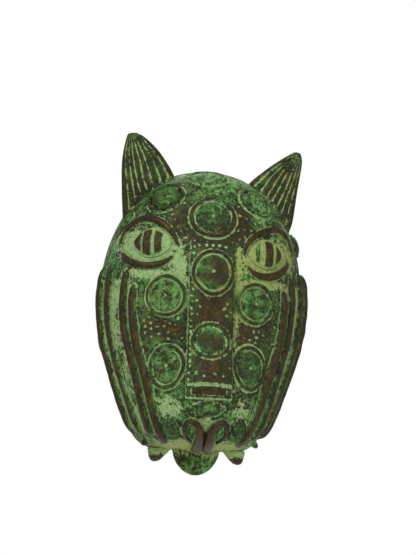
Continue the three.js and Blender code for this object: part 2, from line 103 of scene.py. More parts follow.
def outside(p):
    """Below 0 inside the solid head, above 0 outside it."""
    x, y, z = p[..., 0], p[..., 1], p[..., 2]
    muzzle = MUZZLE_PROUD * np.exp(-((x / MUZZLE_HALF_WIDTH) ** 2)) * smooth(-z, 12, 62)
    brow = 4 * np.exp(-(((np.abs(x) - 36) / 17) ** 2) - ((z - 44) / 17) ** 2)
    low = smooth(-z, -10, 80)
    forward = np.maximum(0, -y - SKIRT) / (DOME + muzzle - brow)
    return spread(x, z) ** mix(2.5, 5.5, low) + forward ** mix(2.2, 2.6, low) - 1


def gradient(p, e=0.05):
    out = np.empty_like(p)
    for i in range(3):
        step = np.zeros(3)
        step[i] = e
        out[..., i] = (outside(p + step) - outside(p - step)) / (2 * e)
    return out


def unit(v):
    return v / np.maximum(np.linalg.norm(v, axis=-1, keepdims=True), 1e-12)


def normals(p):
    return unit(gradient(p))


def depth_outside(p):
    """How far a point is outside the head's surface, near it; negative inside."""
    return outside(p) / np.linalg.norm(gradient(p), axis=-1)


def cast(start, direction, length):
    """Where rays from outside the head, which end inside it, pass through its surface."""
    low = np.zeros(start.shape[:-1])
    high = np.full(start.shape[:-1], float(length))
    for _ in range(34):
        middle = (low + high) / 2
        out = outside(start + direction * middle[..., None]) > 0
        low = np.where(out, middle, low)
        high = np.where(out, high, middle)
    return start + direction * high[..., None]


def on_face(x, z):
    x, z = np.broadcast_arrays(np.asarray(x, float), np.asarray(z, float))
    start = np.stack([x, np.full(x.shape, -140.0), z], -1)
    return cast(start, np.array([0.0, 1.0, 0.0]), 139)


def drop(p, direction, reach=40.0):
    """Points moved along a direction onto the surface."""
    direction = np.broadcast_to(direction, p.shape)
    return cast(p - direction * reach, direction, 2 * reach)


def outline_half(z):
    z = np.asarray(z, float)
    low, high = np.zeros(z.shape), np.full(z.shape, HALF_WIDTH)
    for _ in range(40):
        middle = (low + high) / 2
        inside = spread(middle, z) < 1
        low, high = np.where(inside, middle, low), np.where(inside, high, middle)
    return low


def bridge_height(x, z):
    """How far the nose bridge stands off the shell."""
    b = BRIDGE
    aside = np.abs(x - BRIDGE_X)
    arch = np.sqrt(np.clip(1 - (aside / (b["half"] + 1)) ** 2, 0, 1))
    ends = smooth(b["top"] - z, 0, 24) * mix(0.45, 1, smooth(z - b["bottom"], 0, 12))
    hump = b["hump"] * np.exp(-(((z - b["hump_z"]) / b["hump_half"]) ** 2))
    on = (aside <= b["half"]) & (z <= b["top"]) & (z >= b["bottom"])
    return np.where(on, (b["height"] * ends + hump) * arch, 0)


# ---- Noise ---------------------------------------------------------------------------------------


def lattice(ix, iy, iz, seed):
    n = (ix * 374761393 + iy * 668265263 + iz * 1440662683 + seed * 1274126177) & 0xFFFFFFFF
    n = ((n ^ (n >> 13)) * 1274126177) & 0xFFFFFFFF
    return ((n ^ (n >> 16)) & 0xFFFF) / 32767.5 - 1


def noise(p, size, seed):
    """Smooth noise from -1 to 1 whose lumps are about size mm across."""
    q = np.asarray(p, float) / size
    cell = np.floor(q).astype(np.int64)
    t = q - cell
    t = t * t * (3 - 2 * t)
    total = 0.0
    for corner in range(8):
        d = [(corner >> k) & 1 for k in range(3)]
        weight = 1.0
        for k in range(3):
            weight = weight * (t[..., k] if d[k] else 1 - t[..., k])
        total = total + weight * lattice(cell[..., 0] + d[0], cell[..., 1] + d[1], cell[..., 2] + d[2], seed)
    return total


def rough(p, size, seed):
    coarse = noise(p, size, seed) * 0.6
    middling = noise(p, size / 2.1, seed + 1) * 0.3
    return coarse + middling + noise(p, size / 4.3, seed + 2) * 0.15


# ---- Meshes --------------------------------------------------------------------------------------


def make(name, verts, faces, node, slot, material, **attributes):
    """A mesh object from points in the head's coordinates, which stands for a CAD node."""
    points = (np.asarray(verts, float) + [0, 0, LIFT]) / 1000
    mesh = bpy.data.meshes.new(name)
    mesh.from_pydata(points.tolist(), [], [list(map(int, f)) for f in faces])
    for key, values in attributes.items():
        layer = mesh.attributes.new(key, "FLOAT", "POINT")
        layer.data.foreach_set("value", np.asarray(values, np.float32))
    mesh.polygons.foreach_set("use_smooth", np.ones(len(mesh.polygons), bool))
    mesh.materials.append(material)
    piece = bpy.data.objects.new(name, mesh)
    bpy.context.scene.collection.objects.link(piece)
    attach(piece, "root")
    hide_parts(node)
    return piece


def skin(start, rings, end):
    """Points and faces of a closed skin over rings of equally many points, facing outwards."""
    count, n = rings.shape[:2]
    verts = np.vstack([start[None], rings.reshape(-1, 3), end[None]])
    i = np.arange(n)
    j = (i + 1) % n
    faces = [(0, 1 + b, 1 + a) for a, b in zip(i, j)]
    for r in range(count - 1):
        a, b = 1 + r * n, 1 + (r + 1) * n
        faces += list(zip(a + i, a + j, b + j, b + i))
    last = 1 + (count - 1) * n
    faces += [(last + a, last + b, len(verts) - 1) for a, b in zip(i, j)]
    volume = 0.0
    for f in faces:
        a = verts[f[0]]
        for k in range(1, len(f) - 1):
            volume += np.dot(a, np.cross(verts[f[k]], verts[f[k + 1]]))
    if volume < 0:
        faces = [f[::-1] for f in faces]
    return verts, faces


def node_middle(node):
    """The middle of a CAD node's box and half its size, in the head's coordinates."""
    low, high = (np.array(c) * 1000 - [0, 0, LIFT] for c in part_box(node))
    return (low + high) / 2, (high - low) / 2


OUTLINES = []  # points along the feet of the pieces on the shell, for the crevices round them
BRIDGE_OUTLINES = []


def frame_at(p):
    n = normals(p)
    up = np.array([0.0, 0.0, 1.0]) - n * n[2]
    if up @ up < 0.02:
        up = np.array([0.0, 1.0, 0.0]) - n * n[1]
    up = unit(up)
    return n, up, np.cross(up, n)


SINK = 0.5  # how far the underside of a pad lies in the shell


def pad(name, slot, material, edge, top, paint, centre=None, under=None, sides=72, rings=26, wobble=0.25):
    """A pad laid on the surface at its CAD node.

    edge(angle) is its radius, top(a, b, share, points) its height, and paint(a, b, share, height, points)
    its attributes.
    """
    if centre is None:
        middle, _ = node_middle(name)
        n0 = normals(middle[None])[0]
        centre = drop(middle[None], -n0)[0]
    n, up, across = frame_at(centre)
    angle = np.linspace(0, 2 * math.pi, sides, endpoint=False)
    share = np.concatenate([np.linspace(0, 1, rings + 1)[1:] ** 0.85, [1.0, 0.6]])
    seed = sum(map(ord, name))
    radius = edge(angle) * (1 + 0.012 * np.sin(3 * angle + seed) + 0.008 * np.sin(5 * angle + 2 * seed))
    s, r = np.meshgrid(share, radius, indexing="ij")
    a = s * r * np.cos(angle)
    b = s * r * np.sin(angle)
    a, b = np.append(a.ravel(), 0), np.append(b.ravel(), 0)
    s = np.append(s.ravel(), 0)
    flat = centre + across * a[:, None] + up * b[:, None]
    foot = drop(flat, -n)
    nn = normals(foot)
    base = under(foot) if under else 0
    h = top(a, b, s, foot) + wobble * rough(foot, 5.0, seed) * smooth(1 - s, 0, 0.15)
    count = len(angle)
    h[-1 - 2 * count : -1] = -SINK  # the underside
    verts = foot + nn * np.broadcast_to(base + h, s.shape)[:, None]
    top_rings = verts[:-1].reshape(len(share), count, 3)
    outline = top_rings[rings - 1]
    (BRIDGE_OUTLINES if under else OUTLINES).append(outline)
    below = under(centre[None])[0] if under else 0
    bottom = drop(centre[None], -n)[0] + n * (below - SINK)
    points, faces = skin(verts[-1], top_rings, bottom)
    order = np.concatenate([[len(s) - 1], np.arange(len(s) - 1), [len(s) - 1]])
    values = paint(a[order], b[order], s[order], h[order], points)
    return make(name, points, faces, name, slot, material, **values)


def curve(points, count):
    """Points evenly spaced along a smooth curve through the given ones."""
    p = np.asarray(points, float)
    ext = np.vstack([2 * p[0] - p[1], p, 2 * p[-1] - p[-2]])
    t = np.linspace(0, len(p) - 1, 60 * len(p))
    i = np.minimum(t.astype(int), len(p) - 2)
    f = (t - i)[:, None]
    a, b, c, d = ext[i], ext[i + 1], ext[i + 2], ext[i + 3]
    fine = 0.5 * (2 * b + (c - a) * f + (2 * a - 5 * b + 4 * c - d) * f**2 + (3 * b - a - 3 * c + d) * f**3)
    along = np.concatenate([[0], np.cumsum(np.linalg.norm(np.diff(fine, axis=0), axis=1))])
    at = np.linspace(0, along[-1], count)
    return np.stack([np.interp(at, along, fine[:, k]) for k in range(fine.shape[1])], -1)


def roll(name, slot, material, path, width, height, paint, steps=120, arc=15, sink=0.6, square=2.3):
    """A roll of metal along points on the surface. width(t) and height(t) are its half width and height."""
    p = curve(path, steps)
    p = drop(p, -normals(p), 12)
    n = normals(p)
    tangent = unit(np.gradient(p, axis=0))
    side = unit(np.cross(tangent, n))
    t = np.linspace(0, 1, steps)
    seed = sum(map(ord, name))
    p = p + side * (0.35 * noise(p, 14.0, seed + 9))[:, None]
    w = width(t) * (1 + 0.12 * noise(p, 9.0, seed))
    h = height(t) * (1 + 0.06 * noise(p, 7.0, seed + 5))
    a = np.linspace(0, math.pi, arc)
    across = np.sign(np.cos(a)) * np.abs(np.cos(a)) ** (2 / square)
    rise = np.abs(np.sin(a)) ** (2 / square)
    rings = (
        p[:, None]
        + side[:, None] * (w[:, None] * across)[..., None]
        + n[:, None] * (h[:, None] * rise)[..., None]
    )
    foot = drop(rings.reshape(-1, 3), -np.repeat(n, arc, 0), 12).reshape(rings.shape)
    lifted = foot + n[:, None] * (h[:, None] * rise)[..., None]
    grain = rough(lifted, 3.0, seed)[..., None] * 0.14 * np.minimum(1, h / 2)[:, None, None]
    lifted = lifted + n[:, None] * grain * rise[:, None] ** 0.5
    OUTLINES.append(foot[:, 0])
    OUTLINES.append(foot[:, -1])
    low = [foot[:, -1] - n * sink, foot[:, 0] - n * sink]
    low = [mix(x, foot[:, arc // 2] - n * sink, 0.15) for x in low]
    full = np.concatenate([lifted, low[0][:, None], low[1][:, None]], 1)
    points, faces = skin(full[0].mean(0), full, full[-1].mean(0))
    rise_all = np.concatenate([rise, [0, 0]])
    across_all = np.concatenate([across, [0, 0]])
    tt = np.repeat(t, arc + 2)
    rr = np.tile(rise_all, steps) * np.repeat(np.minimum(1, h / h.max()), arc + 2) ** 0.5
    cc = np.tile(across_all, steps)
    tt, rr, cc = (np.concatenate([[v[0]], v, [v[-1]]]) for v in (tt, rr, cc))
    return make(name, points, faces, name, slot, material, **paint(tt, rr, cc, points))


# ---- Patina --------------------------------------------------------------------------------------


def rgb(r, g, b):
    """A colour given as it looks, 0 to 255, in the scene's linear values."""
    shares = [c / 255 for c in (r, g, b)]
    return (*(((c + 0.055) / 1.055) ** 2.4 if c > 0.0393 else c / 12.92 for c in shares), 1.0)


class Shading:
    """Short ways to add nodes to a new material."""

    def __init__(self, name):
        self.material = bpy.data.materials.new(name)
        self.material.use_nodes = True
        self.nodes = self.material.node_tree.nodes
        self.links = self.material.node_tree.links
        self.nodes.clear()

    def new(self, kind, **settings):
        node = self.nodes.new(kind)
        for key, value in settings.items():
            setattr(node, key, value)
        return node

    def put(self, socket, value):
        if hasattr(value, "is_output"):
            self.links.new(value, socket)
        else:
            socket.default_value = value

    def math(self, kind, *values, clamp=False):
        node = self.new("ShaderNodeMath", operation=kind, use_clamp=clamp)
        for socket, value in zip(node.inputs, values):
            self.put(socket, value)
        return node.outputs[0]

    def times(self, value, weight):
        return self.math("MULTIPLY", value, weight)

    def add(self, *values):
        total = values[0]
        for value in values[1:]:
            total = self.math("ADD", total, value)
        return total

    def centred(self, value, weight):
        return self.times(self.add(value, -0.5), weight)

    def step(self, value, low, high):
        node = self.new("ShaderNodeMapRange", interpolation_type="SMOOTHSTEP")
        self.put(node.inputs["Value"], value)
        node.inputs["From Min"].default_value = low
        node.inputs["From Max"].default_value = high
        return node.outputs["Result"]

    def blend(self, share, a, b):
        node = self.new("ShaderNodeMix", data_type="RGBA")
        self.put(node.inputs["Factor"], share)
        self.put(node.inputs["A"], a)
        self.put(node.inputs["B"], b)
        return node.outputs["Result"]

    def lumps(self, coords, scale, detail, roughness=0.55, distortion=0.0):
        node = self.new("ShaderNodeTexNoise")
        self.put(node.inputs["Vector"], coords)
        node.inputs["Scale"].default_value = scale
        node.inputs["Detail"].default_value = detail
        node.inputs["Roughness"].default_value = roughness
        node.inputs["Distortion"].default_value = distortion
        return node.outputs["Fac"]

    def attribute(self, key):
        return self.new("ShaderNodeAttribute", attribute_name=key).outputs["Fac"]


def textures(m):
    """The patina's noises, from broad to fine, and the values that the meshes carry."""
    coords = m.new("ShaderNodeTexCoord").outputs["Object"]
    found = dict(
        broad=m.lumps(coords, 38, 3),
        blotch=m.lumps(coords, 150, 5, 0.6, 0.6),
        mottle=m.lumps(coords, 330, 4, 0.62, 0.5),
        grain=m.lumps(coords, 800, 4, 0.65),
        pits=m.lumps(coords, 1300, 2, 0.6),
    )
    return found | {key: m.attribute(key) for key in ("pale", "worn", "warm", "tone")}


def verdigris(m, t):
    """The green film: near black where it's thin, mid green where it has grown, chalky at the thickest."""
    film = m.add(m.centred(t["blotch"], 1.5), m.centred(t["mottle"], 2.0), m.centred(t["grain"], 1.5))
    film = m.add(film, m.centred(t["broad"], 0.6), t["tone"], 0.53)
    thin = m.blend(m.step(t["grain"], 0.42, 0.6), rgb(30, 34, 13), rgb(56, 62, 31))
    grown = m.blend(m.step(t["broad"], 0.38, 0.62), rgb(80, 114, 50), rgb(60, 110, 50))
    light = m.blend(m.step(t["pits"], 0.4, 0.6), rgb(104, 152, 80), rgb(140, 172, 108))
    return m.blend(m.step(film, 0.32, 0.5), thin, m.blend(m.step(film, 0.6, 0.86), grown, light))


def rubbed_metal(m, t, red):
    """Dark brown metal with redder patches and a few bright flecks, which are painted glints of light on the
    metal.
    """
    rubbed = m.blend(m.step(t["mottle"], 0.44, 0.62), rgb(42, 35, 13), rgb(70, 56, 26))
    rubbed = m.blend(m.times(m.step(t["blotch"], 0.52, 0.68), red), rubbed, rgb(108, 72, 38))
    # Painted highlight: a few bright flecks where light catches the metal.
    return m.blend(m.step(t["pits"], 0.66, 0.74), rubbed, rgb(138, 122, 84))


def chalky_deposit(m, t):
    """What has settled in the hollows, stained green in patches."""
    warm = m.step(t["warm"], 0.1, 0.9)
    chalk = m.blend(warm, rgb(150, 174, 118), rgb(150, 162, 92))
    stained = m.blend(warm, rgb(96, 138, 70), rgb(108, 128, 54))
    patches = m.step(m.add(m.centred(t["mottle"], 1.4), m.centred(t["grain"], 1.4), 0.5), 0.3, 0.6)
    return m.blend(m.step(t["pits"], 0.56, 0.7), m.blend(patches, stained, chalk), rgb(176, 196, 140))


def patina(name, brown=0.0, red=0.5):
    """Copper alloy under verdigris. The mesh says where it's pale, worn, warm or of another tone."""
    m = Shading(name)
    t = textures(m)
    blotch, mottle, grain, pits = (t[key] for key in ("blotch", "mottle", "grain", "pits"))
    wear = m.add(t["worn"], m.centred(blotch, 1.0), m.centred(mottle, 1.6), m.centred(grain, 1.3), brown)
    wear = m.step(wear, 0.42, 0.58)
    settled = m.add(t["pale"], m.centred(blotch, 0.8), m.centred(mottle, 1.4), m.centred(grain, 1.5))
    settled = m.step(settled, 0.42, 0.6)
    colour = m.blend(wear, verdigris(m, t), rubbed_metal(m, t, red))
    colour = m.blend(settled, colour, chalky_deposit(m, t))
    dirt = m.add(m.centred(grain, 2.0), m.centred(pits, 1.2), m.centred(mottle, 0.8), 0.5)
    colour = m.blend(m.times(m.step(dirt, 0.72, 0.86), 0.85), colour, rgb(30, 33, 14))
    # Painted shade: near black deep in the slits, which stop short of going through the shell.
    colour = m.blend(m.step(t["tone"], -0.98, -0.84), rgb(5, 6, 3), colour)

    bare = m.times(wear, m.math("SUBTRACT", 1.0, settled, clamp=True))
    shader = m.new("ShaderNodeBsdfPrincipled")
    m.put(shader.inputs["Base Color"], colour)
    m.put(shader.inputs["Metallic"], m.times(bare, 0.45))
    m.put(shader.inputs["Roughness"], m.add(m.times(bare, -0.36), m.times(grain, 0.2), 0.68))
    shader.inputs["Specular IOR Level"].default_value = 0.28
    bump = m.new("ShaderNodeBump")
    bump.inputs["Strength"].default_value = 0.75
    bump.inputs["Distance"].default_value = 0.0009
    m.put(bump.inputs["Height"], m.add(m.times(grain, 0.6), m.times(pits, 0.35), m.times(blotch, 0.5)))
    m.put(shader.inputs["Normal"], bump.outputs["Normal"])
    m.put(m.new("ShaderNodeOutputMaterial").inputs["Surface"], shader.outputs["BSDF"])
    return m.material


GREEN = patina("verdigris")
WORN = patina("worn_bronze", red=0.48)
PALE = patina("pale_verdigris")
BARE = patina("bare_bronze", brown=0.5)


def blobs(p, spots):
    """The greatest of several soft ovals, each (x, z, half width, half height, weight), at points."""
    x, z = p[:, 0], p[:, 2]
    total = np.zeros(len(p))
    for cx, cz, rx, rz, weight in spots:
        total = np.maximum(total, weight * np.exp(-(((x - cx) / rx) ** 2 + ((z - cz) / rz) ** 2) ** 1.4))
    return total


# Where chalk has settled in the open, where the surface is rubbed, and where it yellows.
CHALKY = [
    (-44, 50, 25, 17, 1.0), (-23, 36, 7, 24, 0.95), (-44, 32, 22, 5, 0.9), (44, 46, 24, 17, 1.0),
    (20.5, 26, 4.5, 34, 1.0), (40, 27, 22, 5, 0.9), (19.5, -6, 3.5, 16, 0.7), (-27, -66, 13, 9, 0.75),
    (27, -66, 8, 12, 0.55), (0, -94, 44, 6, 0.85), (0, -78, 10, 7, 0.75), (0, -70, 16, 3, 0.5),
    (-62, 20, 5, 24, 0.4), (-55, -50, 6, 30, 0.4), (58, 0, 4, 50, 0.3), (-62, 66, 10, 12, 0.3),
    (58, 66, 8, 20, 0.45),
]
RUBBED = [
    (-30, -9, 18, 9, 0.42), (31, -11, 16, 9, 0.4), (0, 62, 26, 9, 0.45), (22, 70, 12, 20, 0.45),
    (-22, 78, 14, 24, 0.3), (-18, 100, 20, 8, 0.25), (32, -36, 18, 26, 0.22), (-45, -10, 6, 60, 0.25),
    (45, -10, 6, 60, 0.3),
]
DARK = [
    (0, 64, 30, 12, 0.28), (22, 70, 12, 20, 0.25), (-22, 66, 8, 14, 0.2), (-30, -9, 20, 9, 0.2),
    (31, -11, 18, 9, 0.2), (-18, -20, 4, 36, 0.2), (32, -38, 20, 22, 0.16), (-46, 92, 14, 12, 0.2),
    (62, 20, 14, 60, 0.2), (-64, 0, 10, 60, 0.1), (0, -66, 16, 7, 0.25), (60, 96, 14, 30, 0.15),
]
# Ovals of lighter tone; those at the crown's edge and over the temples are painted sheen, the grey-green of
# light glancing off the curved brow.
LIGHTER_AND_SHEEN = [
    (0, 104, 40, 6, 0.15), (-34, 14, 18, 18, 0.12), (40, 80, 16, 14, 0.12), (0, -110, 20, 12, 0.15),
    (-34, 88, 10, 10, 0.08),
]
YELLOWED = [(22, 20, 16, 50, 1.0), (45, 48, 30, 30, 0.9), (0, -96, 50, 12, 0.8), (55, 85, 20, 30, 0.6)]


def clear_paint(points, pale=0.0, worn=0.0, tone=0.0):
    """Attributes for a piece with the face's own zones under its own paint."""
    n = len(points)
    return dict(
        pale=np.broadcast_to(pale, n),
        worn=np.broadcast_to(worn, n),
        warm=blobs(points, YELLOWED),
        # The lighter ovals add painted sheen at the crown's edge and over the temples.
        tone=np.broadcast_to(tone, n) + blobs(points, LIGHTER_AND_SHEEN) - blobs(points, DARK),
    )


# ---- Spots ---------------------------------------------------------------------------------------

# Each spot: how high its relief is, how much chalk is in its grooves, how rubbed its ring and its disc are.
SPOTS = {
    "crown": (0.8, 0.6, 0.3, 0.1),
    "forehead_centre": (1.25, 0.9, 0.7, 0.3),
    "forehead_left": (1.3, 0.45, 0.8, 0.3),
    "forehead_right": (1.0, 0.7, 0.45, 0.15),
    "temple_left": (0.7, 0.7, 0.5, 0.2),
    "temple_right": (0.55, 0.4, 0.6, 0.3),
    "bridge_upper": (1.1, 1.05, 0.8, 0.5),
    "bridge_lower": (0.6, 0.6, 0.6, 0.6),
    "cheek_upper_left": (1.25, 1.05, 0.5, 0.2),
    "cheek_upper_right": (1.25, 1.05, 0.55, 0.25),
    "cheek_lower_left": (1.2, 0.95, 0.45, 0.15),
    "cheek_lower_right": (1.2, 0.95, 0.5, 0.25),
    "jaw_left": (0.7, 0.5, 0.5, 0.3),
    "jaw_right": (0.7, 0.5, 0.5, 0.3),
}


def on_bridge(p):
    return bridge_height(p[:, 0], p[:, 2])


# How far these spots swell in the middle.
DOMED = {"temple_right": 3.0, "temple_left": 1.6, "jaw_left": 2.6, "jaw_right": 2.6}


def rosette(name, relief, chalk, ring, disc):
    node = f"rosette_{name}"
    middle, half = node_middle(node)
    bridge = name.startswith("bridge")
    if bridge or name.startswith("cheek"):
        centre = on_face(middle[0], middle[2])
        slant = -normals(centre[None])[0][1]
        size = (half[0] - 0.4 if bridge else (half[0] - 0.9) / slant, half[2] + 0.4)
    else:
        centre = None
        size = (half.max() * 0.985,) * 2

    def edge(angle):
        return 1 / np.hypot(np.cos(angle) / size[0], np.sin(angle) / size[1])

    def top(a, b, s, p):
        dimple = np.exp(-((np.hypot(a, b) / 1.5) ** 2))
        body = 1.45 + 0.35 * (1 - (s / 0.74) ** 2)
        disc_height = body * (1 - smooth(s, 0.64, 0.74)) - 1.0 * dimple
        ring_height = 1.9 * smooth(s, 0.77, 0.85) * (1 - smooth(s, 0.9, 1.0))
        dome = DOMED.get(name, 0) * (1 - s**2)
        return relief * (disc_height + ring_height) + dome + 0.05 - 0.4 * smooth(s, 0.97, 1.0)

    def paint(a, b, s, h, p):
        broken = 0.5 * noise(p, 7.0, 61)
        groove = np.exp(-(((s - 0.755) / 0.05) ** 2)) * (1 + broken)
        dimple = np.exp(-((np.hypot(a, b) / 1.3) ** 2))
        rim = smooth(s, 0.94, 0.98) * (1 + broken)
        on_ring = smooth(s, 0.8, 0.84) * (1 - smooth(s, 0.92, 0.965))
        on_disc = 1 - smooth(s, 0.62, 0.69)
        pale = chalk * np.maximum.reduce([groove, dimple * 0.9, rim]) - 0.35 * on_ring
        patchy = 0.8 + 0.5 * noise(p, 8.0, 63)
        worn = patchy * (ring * on_ring + disc * on_disc)
        return clear_paint(p, pale, worn, -0.17 * on_ring - 0.09 * on_disc)

    under = on_bridge if bridge else None
    return pad(node, "verdigris", GREEN, edge, top, paint, centre, under, sides=96, rings=40)


ROSETTES = {spot: rosette(spot, *values) for spot, values in SPOTS.items()}

# ---- Eyes ----------------------------------------------------------------------------------------

EYES = {
    "left": dict(
        sign=-1, half=16.6,
        upper=[(20.6, -4), (16.8, 6.2), (9.2, 14.6), (0, 17.2), (-8.2, 14.4), (-15.4, 7.4), (-20.1, -1.4)],
        lower=[(19.3, -7.2), (15, -11.9), (8.8, -14.8), (1.8, -15.5), (-5.2, -14.5), (-11.5, -11.4),
               (-16.4, -7.5)],
        bars=[(-10.6, 3.3, 1.0), (-2.3, 3.3, 1.0), (6.6, 2.9, 0.85)],
    ),
    "right": dict(
        sign=1, half=15.8,
        upper=[(20.4, -1), (17.4, 8.5), (13.6, 14.6), (8.7, 18), (4.1, 18.4), (-3, 16.2), (-10, 12.4),
               (-15.4, 6.2), (-18, -1.4)],
        lower=[(17.2, -4.2), (13.5, -9.9), (7.5, -13.6), (1.7, -14.8), (-4.8, -14.4), (-10.6, -12.2),
               (-15, -7.6)],
        bars=[(-8.6, 1.8, 0.55), (0.9, 3.4, 0.95), (9.6, 2.5, 0.95)],
    ),
}


def taper(full, tip, share=0.3):
    return lambda t: mix(tip, full, np.minimum(1, np.minimum(t, 1 - t) / share) ** 0.55)


def blunt(full, share=0.06):
    """A size along a roll that rounds off quickly at both ends."""

    def size(t):
        short = 1 - np.minimum(1, np.minimum(t, 1 - t) / share)
        return full * np.sqrt(np.clip(1 - short**2, 0.02, 1))

    return size


BAR_LEAN = 0.09  # the bars lean outwards by this share of their height
EYE_CORNER = 1.6  # 2 would make an eye an ellipse; less makes its corners sharper


def eye(side, sign, half, upper, lower, bars):
    def edge(angle):
        tall = np.where(np.sin(angle) > 0, 12.0, 11.2)
        across, along = np.abs(np.cos(angle)) / half, np.abs(np.sin(angle)) / tall
        return (across**EYE_CORNER + along**EYE_CORNER) ** (-1 / EYE_CORNER)

    def bar_share(a, b, s):
        reach = np.zeros(len(a))
        for x, width, strength in bars:
            inside = 1 - smooth(np.abs(a - x - BAR_LEAN * sign * b), width - 0.5, width + 0.6)
            reach = np.maximum(reach, strength * inside)
        return reach * (1 - smooth(s, 0.78, 0.9))

    def top(a, b, s, p):
        return 2.4 * (1 - s**2.2) + 0.3 + 1.5 * bar_share(a, b, s)

    def paint(a, b, s, h, p):
        bar = bar_share(a, b, s)
        return clear_paint(p, 1.05 - 1.1 * smooth(bar, 0.15, 0.6), 0.75 * smooth(bar, 0.5, 0.95))

    pad(f"eyeball_{side}", "pale", PALE, edge, top, paint, None, None, sides=110, rings=40, wobble=0.2)
    for lid, path, width in (("upper", upper, 2.6), ("lower", lower, 2.8)):
        node = f"{lid}_lid_{side}"
        points = np.array([(sign * out, rise) for out, rise in path])
        lid_middle = node_middle(node)[0][[0, 2]]
        points = points - (points.max(0) + points.min(0)) / 2 + lid_middle

        def lid_paint(t, r, c, p):
            ends = np.minimum(1, np.minimum(t, 1 - t) / 0.1)
            worn = 1.1 * smooth(r, 0.3, 0.6) * mix(0.55, 1, ends)
            return clear_paint(p, 0.75 * (1 - smooth(r, 0.0, 0.45)), worn)

        line = on_face(points[:, 0], points[:, 1])
        widths, heights = taper(width, 0.7, 0.32), taper(2.9, 0.8, 0.3)
        roll(node, "worn", WORN, line, widths, heights, lid_paint, steps=130, arc=17)


for side, values in EYES.items():
    eye(side, **values)

# ---- Cheek rolls ---------------------------------------------------------------------------------

CHEEK_ROLLS = [
    dict(inset=(20.4, 18), foot=(17, 15), half=3.6, height=3.5),
    dict(inset=(14, 11.6), foot=(10.4, 8.4), half=3.5, height=3.5),
    dict(inset=(4, 4.4), foot=(4, 3.4), half=3.5, height=3.5),
    dict(inset=(0.5, 0.5), foot=(0.6, 0.6), half=4.2, height=4.9),
]


def cheek_paint(t, r, c, p):
    streak = 0.25 * noise(p * [1, 1, 0.3], 5.0, 81)
    pale = 0.95 * (1 - smooth(r, 0.02, 0.45)) - 0.1
    return clear_paint(p, pale, 0.7 * smooth(r, 0.35, 0.7) + streak, -0.06)


for side, sign in (("left", -1), ("right", 1)):
    for number, size in enumerate(CHEEK_ROLLS, 1):
        node = f"cheek_roll_{side}_{number}"
        middle, half = node_middle(node)
        z = np.linspace(middle[2] - half[2] + 0.5, middle[2] + half[2] - 0.5, 14)
        k = 0 if side == "left" else 1
        inward = mix(size["foot"][k], size["inset"][k], smooth(z, middle[2] - half[2], -30))
        x = sign * (outline_half(z) - inward)
        widths, heights = blunt(size["half"], 0.07), blunt(size["height"], 0.1)
        roll(node, "worn", WORN, on_face(x, z), widths, heights, cheek_paint, steps=190, arc=15)

# ---- Nose ----------------------------------------------------------------------------------------


def superoval(a, b, n=2.0):
    return lambda angle: ((np.abs(np.cos(angle)) / a) ** n + (np.abs(np.sin(angle)) / b) ** n) ** (-1 / n)


def domed(height, power):
    """The height of a pad that is highest in its middle."""
    return lambda a, b, s, p: height * (1 - s**power) + 0.1


def lip_paint(a, b, s, h, p):
    return clear_paint(p, 0.5 * smooth(s, 0.85, 1), 1.0 * (1 - smooth(s, 0.8, 1)))


def nose_paint(a, b, s, h, p):
    return clear_paint(p, 0.5 * smooth(s, 0.8, 1), 0.1 * np.exp(-(((b - 2) / 3) ** 2)), 0.12)


def whisker_paint(a, b, s, h, p):
    return clear_paint(p, 0.45 * smooth(s, 0.93, 1), 0.3 * smooth(a, -2, 5) - 0.1, -0.22)


def jaw_paint(a, b, s, h, p):
    return clear_paint(p, 0.6 * smooth(s, 0.8, 1), 1.1 * (1 - smooth(s, 0.7, 0.95)))


def nostril_paint(t, r, c, p):
    return clear_paint(p, 0.5 * (1 - smooth(r, 0.05, 0.4)), 1.15 * smooth(r, 0.15, 0.5))


middle, _ = node_middle("upper_lip_bar")
place = on_face(middle[0], middle[2])
edge = superoval(12.3, 2.7, 6)
pad("upper_lip_bar", "worn", WORN, edge, domed(1.5, 6), lip_paint, place, on_bridge, sides=96, rings=16)

middle, half = node_middle("nose_tip")
place = on_face(middle[0], middle[2])
edge = superoval(half[0], half[2] + 0.3, 1.7)
pad("nose_tip", "verdigris", GREEN, edge, domed(2.9, 1.8), nose_paint, place, sides=80, rings=24)

# The middle line of a nostril, sideways from the nose's middle and up, from its foot round to its curled end.
NOSTRIL = [(3.8, -97.2), (3.5, -89), (4.8, -80.5), (9.2, -76), (13.6, -76), (15.8, -81), (14, -87), (9, -91)]


def nostril_thin(t):
    return mix(1, 0.33, smooth(t, 0.3, 1))


def nostril_width(t):
    return 3.8 * nostril_thin(t) * np.sqrt(np.clip(np.minimum(1, (1 - t) / 0.04), 0.05, 1))


def nostril_height(t):
    return 4.9 * nostril_thin(t) * np.minimum(1, 0.35 + 4 * t)


for side, sign in (("left", -1), ("right", 1)):
    path = np.array([(BRIDGE_X + sign * x, z) for x, z in NOSTRIL])
    line = on_face(path[:, 0], path[:, 1])
    shape = (nostril_width, nostril_height)
    roll(f"nostril_{side}", "worn", WORN, line, *shape, nostril_paint, steps=150, arc=19)
    pad(f"whisker_pad_{side}", "verdigris", GREEN, superoval(6.5, 11.4), domed(4.9, 2.4), whisker_paint)
    edge = superoval(7, 2.7)
    pad(f"jaw_tip_{side}", "worn", WORN, edge, domed(3.9, 2.2), jaw_paint, sides=64, rings=18)

# ---- The nose bridge -----------------------------------------------------------------------------


def away_from(points, trees):
    """How far each point is from the nearest point of the outlines."""
    if trees is None:
        return np.full(len(points), 99.0)
    return np.array([trees.find(Vector(q))[2] for q in points])


def tree(points):
    points = np.asarray(points, float)
    found = KDTree(len(points))
    for i, q in enumerate(points):
        found.insert(Vector(q), i)
    found.balance()
    return found


def punched_row(x, low, high, gap):
    z = np.arange(low, high, gap)
    z = z + RNG.uniform(-0.5, 0.5, len(z))
    return [(x + dx, v) for dx, v in zip(RNG.uniform(-0.5, 0.5, len(z)), z)]


